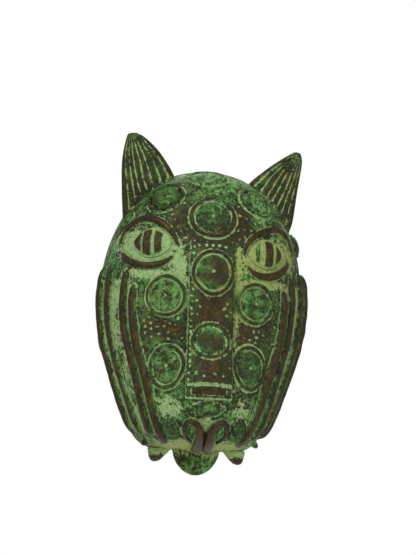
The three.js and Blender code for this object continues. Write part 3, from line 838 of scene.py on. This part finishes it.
def dot_chalk(distance, points):
    """How much chalk fills the punched dots: some are full, some nearly clean."""
    radius = 1.2 + 0.35 * noise(points, 6.0, 21)
    return np.exp(-((distance / radius) ** 4)) * (0.85 + 0.55 * noise(points, 8.0, 22))


BRIDGE_DOTS = punched_row(-14.2, -46, 55, 4.5) + punched_row(14.0, -46, 55, 4.7)
LOOSE_DOTS = [
    (-10, 54), (-5, 54.5), (0, 54), (5, 54.4), (10, 54), (-9, 9), (9, 8), (10.5, 3), (-10.5, 3.5),
    (-9.5, -42), (8.5, -44), (3, -43), (-3.5, -44.5), (11, 12), (-11, 13),
]
BRIDGE_DOTS += [(x + RNG.uniform(-0.6, 0.6), z + RNG.uniform(-0.6, 0.6)) for x, z in LOOSE_DOTS]
NOSE_LINES = (-49.4, -58.6)  # the heights of the two cut lines over and under the lip bar


def crater(distance, radius=1.05, depth=0.75):
    """The relief of a ring-punched dot: a sunk middle inside a slightly raised rim."""
    sunk = depth * (1 - smooth(distance, radius * 0.55, radius * 1.15))
    rim = 0.22 * np.exp(-(((distance - radius * 1.45) / 0.4) ** 2))
    return rim - sunk


def bridge_relief(x, z):
    flat = np.stack([x, 0 * x, z], -1)
    d = away_from(flat, tree([(a, 0, b) for a, b in BRIDGE_DOTS]))
    lines = 0
    for line in NOSE_LINES:
        lines = lines - 0.9 * np.exp(-(((z - line) / 0.8) ** 2))
    return crater(d), d, lines


def bridge():
    rows, columns = 230, 64
    b = BRIDGE
    z = np.linspace(b["bottom"], b["top"], rows)
    u = np.sin(np.linspace(-1, 1, columns) * math.pi / 2)
    zz, uu = np.meshgrid(z, u, indexing="ij")
    xx = uu * b["half"]
    foot = on_face(BRIDGE_X + xx, zz)
    n = normals(foot)
    height = bridge_height(BRIDGE_X + xx * 0.999, zz)
    flat = foot.reshape(-1, 3)
    dots, d, lines = bridge_relief(xx.ravel(), zz.ravel())
    edge = 1 - np.abs(uu.ravel()) ** 6
    relief = (dots + lines + 0.3 * rough(flat, 6.0, 31)) * edge
    height = height + relief.reshape(height.shape) * np.minimum(1, height / 2)
    upper = foot + n * np.maximum(height, -0.2)[..., None]
    low_columns = np.linspace(columns - 1, 0, 12).astype(int)
    lower = (foot - n * 0.6)[:, low_columns]
    rings = np.concatenate([upper, lower], 1)
    OUTLINES.append(foot[:, 0])
    OUTLINES.append(foot[:, -1])
    points, faces = skin(rings[0].mean(0), rings, rings[-1].mean(0))
    spots = tree(np.vstack(BRIDGE_OUTLINES))
    crease = away_from(points, spots)
    index = np.concatenate([[0], np.arange(rings.shape[0] * rings.shape[1]), [0]])
    xs = np.concatenate([xx, xx[:, low_columns]], 1).ravel()[index]
    zs = np.concatenate([zz, zz[:, low_columns]], 1).ravel()[index]
    pad_d = np.concatenate([d.reshape(xx.shape), np.full(lower.shape[:2], 9.0)], 1).ravel()[index]
    mid = np.exp(-((xs / 9) ** 2))
    crest = mid * smooth(34 - zs, -30, 20) * smooth(zs + 50, -4, 6)
    pale = np.maximum.reduce([
        dot_chalk(pad_d, points) * mix(1, 0.45, smooth(xs, 11, 13)),
        0.85 * np.exp(-((crease / 0.75) ** 2)),
        np.exp(-(((zs - NOSE_LINES[0]) / 1.3) ** 2)) * (np.abs(xs) < 15.8),
        np.exp(-(((zs - NOSE_LINES[1]) / 1.4) ** 2)),
        0.5 * smooth(np.abs(xs), 15.4, 16.6),
    ])
    worn = 0.38 + 0.34 * crest
    values = clear_paint(points, pale, worn, -0.12)
    make("nose_bridge", points, faces, "nose_bridge", "worn", WORN, **values)


bridge()

# ---- Ears, fangs and tongue ----------------------------------------------------------------------

EAR_OUTER = {
    "left": [(-58.5, 52), (-60.3, 58), (-61.9, 74), (-63.6, 96), (-64.1, 116), (-61.4, 133), (-58.5, 136)],
    "right": [(61, 58), (63.5, 68), (65.6, 76), (68, 98), (70.4, 117), (69.9, 124), (68.4, 126.8)],
}
EAR_INNER = {
    "left": [(-23, 97), (-25.6, 107), (-36.2, 122.4), (-47.2, 132.6), (-54, 136), (-56.3, 136.3)],
    "right": [(27, 91), (30, 100.5), (45, 114.2), (58, 123.4), (64.5, 127.2), (66.4, 127.4)],
}


def foot_share(line, sink=1.6):
    """The share of a line of points that lies in the head, by more than sink mm so that it stays joined."""
    inside = depth_outside(line) < -sink
    last = np.nonzero(inside)[0]
    return 0 if len(last) == 0 else last[-1] / (len(line) - 1)


def plate(node, slot, material, outer, inner, flutes, paint, top, rows=110, columns=60, rounding=2.6):
    """A plate that stands on the head, between two edge lines given as (x, z) from its foot to its tip."""
    near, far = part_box(node)
    front, thickness = -near.y * 1000, (far.y - near.y) * 1000
    low, high = curve(outer, 200), curve(inner, 200)
    u = (1 - np.cos(np.linspace(0, math.pi, columns))) / 2
    u = mix(u, np.linspace(0, 1, columns), 0.5)
    y_middle = -front + thickness / 2
    low, high = np.minimum(low, [999, top]), np.minimum(high, [999, top])
    lines = []
    for share in u:
        line = low * (1 - share) + high * share
        points = np.stack([line[:, 0], np.full(len(line), y_middle), line[:, 1]], -1)
        start = foot_share(points)
        at = mix(start, 1, np.linspace(0, 1, rows) ** 0.9) * (len(points) - 1)
        lines.append(np.stack([np.interp(at, np.arange(len(points)), points[:, k]) for k in range(3)], -1))
    grid = np.stack(lines, 1)  # rows from foot to tip, columns from the outer to the inner edge
    v = np.linspace(0, 1, rows)[:, None]
    across = np.abs(2 * u - 1)
    body = (1 - across**4.5) ** 0.5 * np.sqrt(np.clip(1 - v**rounding * 0.9, 0.02, 1))
    half = thickness / 2 * body
    front_y = -half + flutes(u, v) * np.minimum(1, body * 1.4)
    back_y = half * 0.9
    seed = sum(map(ord, node))
    front_face = grid + np.stack([0 * half, front_y, 0 * half], -1)
    back_face = grid + np.stack([0 * half, back_y, 0 * half], -1)
    front_face[..., 1] += 0.25 * rough(front_face, 4.0, seed) * body
    back_face[..., 1] += 0.35 * rough(back_face, 6.0, seed + 3) * body
    rings = np.concatenate([front_face, back_face[:, ::-1]], 1)
    points, faces = skin(rings[0].mean(0), rings[:-1], rings[-1].mean(0))
    uu = np.broadcast_to(np.concatenate([u, u[::-1]]), (rows - 1, 2 * columns)).ravel()
    vv = np.repeat(np.linspace(0, 1, rows)[:-1], 2 * columns)
    face = np.tile(np.repeat([1.0, 0.0], columns), rows - 1)
    uu, vv, face = (np.concatenate([[q[0]], q, [q[-1]]]) for q in (uu, vv, face))
    edge_ring = rings[2]
    OUTLINES.append(edge_ring)
    return make(node, points, faces, node, slot, material, **paint(uu, vv, face, points))


FLUTES = (0.12, 0.25, 0.37, 0.51, 0.64, 0.78, 0.9)


def flute(u, v):
    """Grooves that run up an ear and close on its tip, 1 in their middles."""
    total = 0
    for k, at in enumerate(FLUTES):
        width = 0.017 + 0.006 * v
        reach = smooth(v, 0.02, 0.1) * (1 - smooth(v, 0.86 - 0.04 * (k % 3), 1.0))
        total = np.maximum(total, np.exp(-(((u - at - 0.012 * np.sin(7 * v + k)) / width) ** 2)) * reach)
    return total


def ear_paint(u, v, face, p):
    line = flute(u, v) * face
    edge = np.maximum(1 - u / 0.07, (u - 0.93) / 0.07).clip(0, 1)
    foot = 1 - smooth(v, 0.0, 0.14)
    pale = line * (0.78 + 0.6 * noise(p, 6.0, 25)) + 0.4 * foot
    worn = 0.43 * face * (1 - line) + 0.4 * edge + 0.2 * (1 - face)
    return clear_paint(p, pale, worn, -0.18 + 0.2 * line)


TIP_CLEARANCE = 0.2  # between an ear's tip and the top of its CAD node


def ear_flutes(u, v):
    return 1.1 * flute(u[None], v)


for side in ("left", "right"):
    outer, inner = np.array(EAR_OUTER[side], float), np.array(EAR_INNER[side], float)
    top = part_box(f"ear_{side}")[1].z * 1000 - LIFT - TIP_CLEARANCE
    plate(f"ear_{side}", "verdigris", GREEN, outer, inner, ear_flutes, ear_paint, top)

TONGUE_TOP = -50.0  # above the tongue's foot, so that nothing of it is cut off


def tongue_flutes(u, v):
    return 0.5 * np.exp(-(((u[None] - 0.5) / 0.05) ** 2)) * (1 - v)


def tongue_paint(u, v, f, p):
    return clear_paint(p, 0.65 * (1 - smooth(v, 0.05, 0.35)), 0.3 * smooth(v, 0.75, 1.0), -0.14)


def tongue():
    low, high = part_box("tongue")
    half = (high.x - low.x) * 500
    tip = low.z * 1000 - LIFT
    shares = (1.0, 1.0, 0.93, 0.76, 0.5, 0.2, 0.04)  # of its half width, down to the tip
    line = list(zip(shares, (-93, -99, -104, -109.5, -114, tip + 0.3, tip)))
    outer, inner = ([(sign * half * share, z) for share, z in line] for sign in (-1, 1))
    plate("tongue", "verdigris", GREEN, outer, inner, tongue_flutes, tongue_paint, TONGUE_TOP, rounding=3.5)


tongue()


def fang(side, sign):
    node = f"fang_{side}"
    middle, half = node_middle(node)
    tip = middle[2] - half[2]
    root = -CHIN + 1.7
    steps, sides = 60, 48
    t = np.linspace(0, 1, steps)
    angle = np.linspace(0, 2 * math.pi, sides, endpoint=False)
    radius = np.interp(t, [0, 0.15, 0.4, 0.7, 0.88, 0.97, 1], [1.0, 0.95, 0.8, 0.58, 0.4, 0.22, 0.03]) * 9.6
    drift = sign * mix(-0.8, 2.6, t)
    x = middle[0] + drift[:, None] + radius[:, None] * np.cos(angle) * 0.9
    y = middle[1] + radius[:, None] * np.sin(angle) * 0.8
    z = np.broadcast_to(mix(root, tip, t)[:, None], x.shape)
    rings = np.stack([x, y, z], -1)
    rings = rings + 0.3 * rough(rings, 4.0, 91)[..., None] * np.array([1, 1, 0])
    points, faces = skin(rings[0].mean(0), rings, rings[-1].mean(0))
    v = np.concatenate([[0], np.repeat(t, sides), [1]])
    values = clear_paint(points, 0.9 - 0.9 * smooth(v, 0.35, 0.7), 1.1 * smooth(v, 0.4, 0.8))
    make(node, points, faces, node, "pale", PALE, **values)
    OUTLINES.append(rings[2])


for side, sign in (("left", -1), ("right", 1)):
    fang(side, sign)

# ---- The shell -----------------------------------------------------------------------------------


def spot_circles():
    """The middle and radius of each spot and eye, which the punched dots stay out of."""
    circles = []
    for spot in SPOTS:
        middle, half = node_middle(f"rosette_{spot}")
        frontal = spot.startswith(("bridge", "cheek"))
        circles.append((middle, max(half[0], half[2]) if frontal else min(half[0], half[2])))
    eyes = [(node_middle(f"eyeball_{side}")[0], 17) for side in ("left", "right")]
    return circles + eyes


# Where the dots lie: the range across, the range up, how many are tried, and how far apart they stay.
DOTTED = [
    ((-56, 56), (56, 107), 1260, 4.6),
    ((-52, -18), (-16, 0), 210, 4.2),
    ((18, 52), (-17, -2), 210, 4.2),
    ((-72, -60), (36, 62), 90, 5.0),
    ((20, 46), (-66, -52), 120, 4.6),
]


def dots_on_face():
    """Ring-punched dots scattered over the brow and between the cheek spots, clear of every piece."""
    edges = tree(np.vstack(OUTLINES))
    circles = spot_circles()
    taken = []
    for across, upward, tries, gap in DOTTED:
        for _ in range(tries):
            x, z = RNG.uniform(*across), RNG.uniform(*upward)
            if spread(x, z) > 0.95:
                continue
            p = on_face(x, z)
            if edges.find(Vector(p))[2] < 2.6 or any(np.linalg.norm(p - q) < gap for q in taken):
                continue
            chalky = blobs(p[None], CHALKY)[0] > 0.62
            if chalky or any(np.hypot(p[0] - c[0], p[2] - c[2]) < radius for c, radius in circles):
                continue
            taken.append(p)
    return np.array(taken)


DOTS = dots_on_face()


def lines(dense_half, dense, coarse):
    inner = np.linspace(-dense_half, dense_half, dense)
    outer = np.linspace(dense_half, 1, coarse + 1)[1:]
    return np.concatenate([-outer[::-1], inner, outer])


def shell():
    u, v = lines(0.56, 197, 26), lines(0.72, 293, 24)  # each a multiple of 4, and one
    uu, vv = np.meshgrid(u, v, indexing="ij")
    dx, dz = uu * np.sqrt(1 - vv**2 / 2), vv * np.sqrt(1 - uu**2 / 2)
    r = np.minimum(1, np.hypot(dx, dz))
    around = np.arctan2(dz, dx)
    tilt = r * math.pi / 2
    ray = np.stack([np.cos(around) * np.sin(tilt), -np.cos(tilt), np.sin(around) * np.sin(tilt)], -1)
    edge = (np.abs(uu) == 1) | (np.abs(vv) == 1)
    ray[edge, 1] = 0
    ray = unit(ray)
    outer = cast(ray * 175.0, -ray, 175)
    n = normals(outer)
    every = slice(None, None, 4)
    inner = (outer - ray * (WALL / (n * ray).sum(-1))[..., None])[every, every]
    flat = outer.reshape(-1, 3)
    clear = smooth(-flat[:, 1], 0.5, 6)
    d = away_from(flat, tree(DOTS))
    relief = crater(d, 1.0, 0.8) + 0.35 * noise(flat, 16.0, 11) + 0.22 * rough(flat, 5.0, 12)
    crease = away_from(flat, tree(np.vstack(OUTLINES)))
    relief = relief - 0.45 * np.exp(-((crease / 1.0) ** 2))
    across, along = (np.abs(flat[:, 0]) - 9.3) / 3.2, (flat[:, 2] + 83.5) / 4.2  # from a nostril's hollow
    relief = relief - 0.9 * np.exp(-(across**2) - along**2)
    outer = outer + n * (relief * clear).reshape(uu.shape)[..., None]
    inner_n = normals(inner)
    inner_clear = smooth(-inner[..., 1], 0.5, 8)
    inner = inner + inner_n * ((0.5 * rough(inner, 9.0, 51) - 0.15) * inner_clear)[..., None]

    def quads(shape, start, flip):
        i, j = np.meshgrid(np.arange(shape[0] - 1), np.arange(shape[1] - 1), indexing="ij")
        a = start + i * shape[1] + j
        q = np.stack([a, a + shape[1], a + shape[1] + 1, a + 1], -1).reshape(-1, 4)
        return q[:, ::-1] if flip else q

    faces = quads(uu.shape, 0, False).tolist() + quads(inner.shape[:2], uu.size, True).tolist()

    def loop(shape, start):
        a, b = shape
        index = np.arange(a * b).reshape(a, b) + start
        return np.concatenate([index[:-1, 0], index[-1, :-1], index[:0:-1, -1], index[0, :0:-1]])

    fine, rough_loop = loop(uu.shape, 0), loop(inner.shape[:2], uu.size)
    for k in range(len(rough_loop)):
        chain = [fine[(4 * k + i) % len(fine)] for i in range(5)]
        inner_edge = [rough_loop[k], rough_loop[(k + 1) % len(rough_loop)]]
        faces.append([int(c) for c in chain[::-1] + inner_edge])
    points = np.vstack([outer.reshape(-1, 3), inner.reshape(-1, 3)])
    return points, faces


def shell_paint(points):
    """The shell's attributes from where its points lie."""
    crease = away_from(points, tree(np.vstack(OUTLINES)))
    d = away_from(points, tree(DOTS))
    front = smooth(-points[:, 1], 8, 20)
    depth = depth_outside(points)
    inside = depth < -1.8
    near_slits = np.linalg.norm(points - torn_centre, axis=1) < 20
    # Painted shade: the walls and floors of the slits, which stop short of going through the shell, are made
    # near black.
    slit_shade = inside & (depth > -SLIT_DEPTH - 0.15) & near_slits
    x, z = points[:, 0], points[:, 2]
    half = outline_half(z)
    rolls = smooth(half - np.abs(x), 22, 17) * smooth(z, 34, 22) * smooth(-z, 92, 84)
    gutter = rolls * smooth(crease, 0.2, 1.0) * (0.32 + 0.32 * smooth(-points[:, 1], 24, 46))
    gutter = gutter * (1 + 0.45 * noise(points * [1, 1, 0.4], 6.0, 27))
    pale = np.maximum.reduce([
        blobs(points, CHALKY),
        (0.95 + 0.5 * noise(points, 9.0, 23)) * np.exp(-((crease / 1.1) ** 2)),
        dot_chalk(d, points),
        gutter,
    ]) * mix(0.45, 1, front)
    worn = blobs(points, RUBBED) + 0.15 * front
    tone = -0.22 * np.exp(-(((d - 2.0) / 0.6) ** 2)) - 0.18 * np.exp(-(((crease - 1.6) / 0.8) ** 2))
    pale, worn, tone = (np.where(inside, b, a) for a, b in ((pale, 0.2), (worn, 0.4), (tone, 0)))
    pale, worn, tone = (np.where(slit_shade, b, a) for a, b in ((pale, -1), (worn, -1), (tone, -1.4)))
    return clear_paint(points, pale, worn, tone)


SLIT_DEPTH = 2.3  # below the shell's surface


def slit(piece, centre, radius):
    """Cuts the thin torn slits in a spot's groove into a piece, nearly through the shell; their walls carry
    near-black painted shade.
    """
    n, up, across = frame_at(centre)
    modifier = piece.modifiers.new("slits", "BOOLEAN")
    cutters = []
    for at, arc in ((0.75, 0.55), (1.75, 0.4), (3.3, 1.15)):
        angle = np.linspace(at - arc / 2, at + arc / 2, 18)
        taper_off = np.sqrt(np.clip(1 - np.linspace(-1, 1, 18) ** 2, 0.1, 1))
        width = 1.15 * taper_off * (1 + 0.25 * np.sin(9 * angle))
        ring = []
        for a, w in zip(angle, width):
            out = across * math.cos(a) + up * math.sin(a)
            foot = drop((centre + out * radius)[None], -n)[0]
            corners = ((-w, -SLIT_DEPTH), (w, -SLIT_DEPTH), (w, 7), (-w, 7))
            ring.append([foot + out * aside + n * height for aside, height in corners])
        rings = np.array(ring)
        cutters.append(skin(rings[0].mean(0), rings, rings[-1].mean(0)))
    verts, faces, start = [], [], 0
    for v, f in cutters:
        verts.append(v)
        faces += [[i + start for i in q] for q in f]
        start += len(v)
    points = (np.vstack(verts) + [0, 0, LIFT]) / 1000
    mesh = bpy.data.meshes.new("slits")
    mesh.from_pydata(points.tolist(), [], faces)
    # Painted shade: the cut faces take these values, which make them near black.
    for key, value in dict(pale=-1.0, worn=-1.0, warm=0.0, tone=-1.4).items():
        mesh.attributes.new(key, "FLOAT", "POINT").data.foreach_set("value", [value] * len(mesh.vertices))
    cutter = bpy.data.objects.new("slits", mesh)
    bpy.context.scene.collection.objects.link(cutter)
    modifier.operation = "DIFFERENCE"
    modifier.solver = "MANIFOLD"
    modifier.object = cutter
    bpy.context.view_layer.update()
    evaluated = piece.evaluated_get(bpy.context.evaluated_depsgraph_get())
    result = bpy.data.meshes.new_from_object(evaluated)
    piece.modifiers.clear()
    piece.data = result
    bpy.data.objects.remove(cutter)


points, faces = shell()
body = make("mask_shell", points, faces, "mask_shell", "verdigris", GREEN)
middle, half = node_middle("rosette_forehead_left")
torn_centre = drop(middle[None], -normals(middle[None])[0])[0]
torn_radius = 0.785 * half.max() * 0.985
slit(ROSETTES["forehead_left"], torn_centre, torn_radius)
slit(body, torn_centre, torn_radius)
co = np.empty(len(body.data.vertices) * 3)
body.data.vertices.foreach_get("co", co)
final = co.reshape(-1, 3) * 1000 - [0, 0, LIFT]
for key, values in shell_paint(final).items():
    layer = body.data.attributes.get(key) or body.data.attributes.new(key, "FLOAT", "POINT")
    layer.data.foreach_set("value", np.asarray(values, np.float32))
body.data.polygons.foreach_set("use_smooth", np.ones(len(body.data.polygons), bool))

# ---- The hanging bar -----------------------------------------------------------------------------


def hanging_bar():
    low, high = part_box("hanging_bar")
    middle, half = node_middle("hanging_bar")
    radius = (high.y - low.y) * 500
    reach = half[0] + 1.2
    steps, sides = 120, 28
    t = np.linspace(-1, 1, steps)
    x = t * reach
    z = mix(low.z * 1000 - LIFT + radius, high.z * 1000 - LIFT - radius, 1 - np.clip(t**2, 0, 1))
    z = z - (z[steps // 2] - radius + LIFT)  # its middle's underside is at the frame's origin
    p = np.stack([x, np.full(steps, middle[1]), z], -1)
    angle = np.linspace(0, 2 * math.pi, sides, endpoint=False)
    r = radius * (1 + 0.04 * noise(p, 8.0, 71)) * 0.98
    rings = p[:, None] + r[:, None, None] * np.stack([0 * angle, np.cos(angle), np.sin(angle)], -1)[None]
    points, faces = skin(p[0], rings, p[-1])
    make("hanging_bar", points, faces, "hanging_bar", "bare", BARE, **clear_paint(points, 0.1, 0.7))


hanging_bar()

# ---- Stage ---------------------------------------------------------------------------------------

TURN = math.radians(-4.5)  # the camera stands a little to the viewer's left
ROLL = math.radians(2.65)  # the mask leans clockwise in the view
DISTANCE = 6.0
VIEW_HEIGHT = 0.416

low, high = (Vector(c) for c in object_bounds())
floor_mesh = bpy.data.meshes.new("floor")
turns = [2 * math.pi * k / 96 for k in range(96)]
ring = [(1.2 * math.cos(turn), 1.2 * math.sin(turn), low.z - 0.32) for turn in turns]
floor_mesh.from_pydata(ring, [], [list(range(96))])
floor = bpy.data.objects.new("floor", floor_mesh)
bpy.context.scene.collection.objects.link(floor)
floor_material = bpy.data.materials.new("floor")
floor_material.use_nodes = True
floor_shader = floor_material.node_tree.nodes["Principled BSDF"]
floor_shader.inputs["Base Color"].default_value = (0.86, 0.86, 0.85, 1)
floor_shader.inputs["Roughness"].default_value = 0.9
floor_mesh.materials.append(floor_material)
floor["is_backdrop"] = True

world = bpy.data.worlds.new("studio")
bpy.context.scene.world = world
world.use_nodes = True
tree_nodes, tree_links = world.node_tree.nodes, world.node_tree.links
background = tree_nodes["Background"]
background.inputs["Color"].default_value = (1, 1, 1, 1)
background.inputs["Strength"].default_value = 0.45
white = tree_nodes.new("ShaderNodeBackground")
white.inputs["Color"].default_value = (1, 1, 1, 1)
white.inputs["Strength"].default_value = 1.0
path = tree_nodes.new("ShaderNodeLightPath")
either = tree_nodes.new("ShaderNodeMixShader")
tree_links.new(path.outputs["Is Camera Ray"], either.inputs["Fac"])
tree_links.new(background.outputs["Background"], either.inputs[1])
tree_links.new(white.outputs["Background"], either.inputs[2])
tree_links.new(either.outputs["Shader"], tree_nodes["World Output"].inputs["Surface"])


def lamp(name, place, power, size):
    light = bpy.data.lights.new(name, "AREA")
    light.shape = "DISK"
    light.size = size
    light.energy = power
    lamp_object = bpy.data.objects.new(name, light)
    bpy.context.scene.collection.objects.link(lamp_object)
    lamp_object.location = place
    towards = Vector((0, -0.03, -0.06)) - Vector(place)
    lamp_object.rotation_euler = towards.to_track_quat("-Z", "Y").to_euler()


lamp("key", (-0.9, -1.3, 1.5), 30, 0.8)
lamp("fill", (1.4, -1.6, 0.3), 14, 1.4)
lamp("back", (0.2, 1.6, 1.0), 12, 1.2)

camera_data = bpy.data.cameras.new("camera")
camera_data.sensor_fit = "VERTICAL"
camera_data.sensor_height = 36
camera_data.lens = 36 * DISTANCE / VIEW_HEIGHT
camera_data.clip_end = 50
camera = bpy.data.objects.new("camera", camera_data)
bpy.context.scene.collection.objects.link(camera)
bpy.context.scene.camera = camera

view_turn = -TURN
right = Vector((math.cos(view_turn), -math.sin(view_turn), 0))
forward = Vector((math.sin(view_turn), math.cos(view_turn), 0))
up = Vector((0, 0, 1))
face_middle = Vector((0, 0, LIFT / 1000))
roll_right = right * math.cos(ROLL) + up * math.sin(ROLL)
roll_up = up * math.cos(ROLL) - right * math.sin(ROLL)
# The face's middle sits this far from the picture's middle, in metres at the wall plane.
OFFSET = (-0.0077, -0.0304)
centre_of_view = face_middle - roll_right * OFFSET[0] - roll_up * OFFSET[1]
camera.location = centre_of_view - forward * DISTANCE
basis = Matrix((roll_right, roll_up, -forward)).transposed()
camera.rotation_euler = basis.to_euler()

bpy.context.scene.view_settings.view_transform = "Standard"

bpy.context.view_layer.update()
